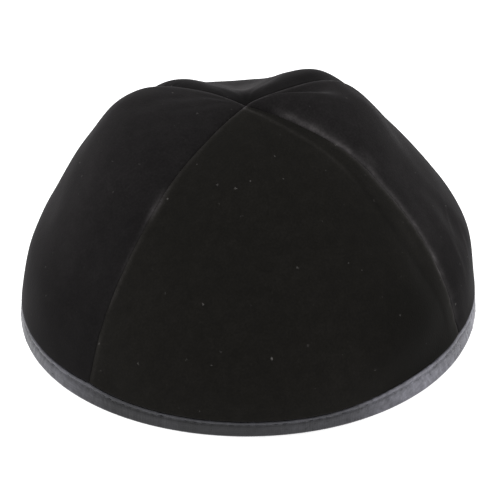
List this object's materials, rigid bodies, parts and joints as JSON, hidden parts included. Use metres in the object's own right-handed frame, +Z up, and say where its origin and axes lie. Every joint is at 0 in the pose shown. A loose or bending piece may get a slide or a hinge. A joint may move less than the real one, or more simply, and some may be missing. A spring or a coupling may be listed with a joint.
{
  "type": "four-panel velvet skullcap",
  "caption": "Soft domed velvet skullcap of shaped panels that meet at the crown, with a satin strip folded round its rim; worn on the crown of the head.",
  "frame": {"origin": "centre of the rim, on the surface that the cap stands on", "axes": "+Z up through the crown; -Y towards the front panel, the one that faces the picture's camera; +X to the right as the front panel is looked at"},
  "size_m": [0.1804, 0.181, 0.0856],
  "materials": {
    "velvet_front": "black cotton velvet, matt, with a faint sheen at grazing angles",
    "velvet_right": "black cotton velvet, matt, nap turned so that it looks a little lighter",
    "velvet_back": "black cotton velvet, matt, nap turned so that it looks a little lighter",
    "velvet_left": "black cotton velvet, matt, nap turned so that it looks a little lighter",
    "satin_binding": "charcoal satin strip, soft lustre, edge-stitched"
  },
  "bodies": {
    "root": {"panel_front": "velvet_front", "panel_right": "velvet_right", "panel_back": "velvet_back", "panel_left": "velvet_left", "rim_binding": "satin_binding"}
  },
  "joints": []
}
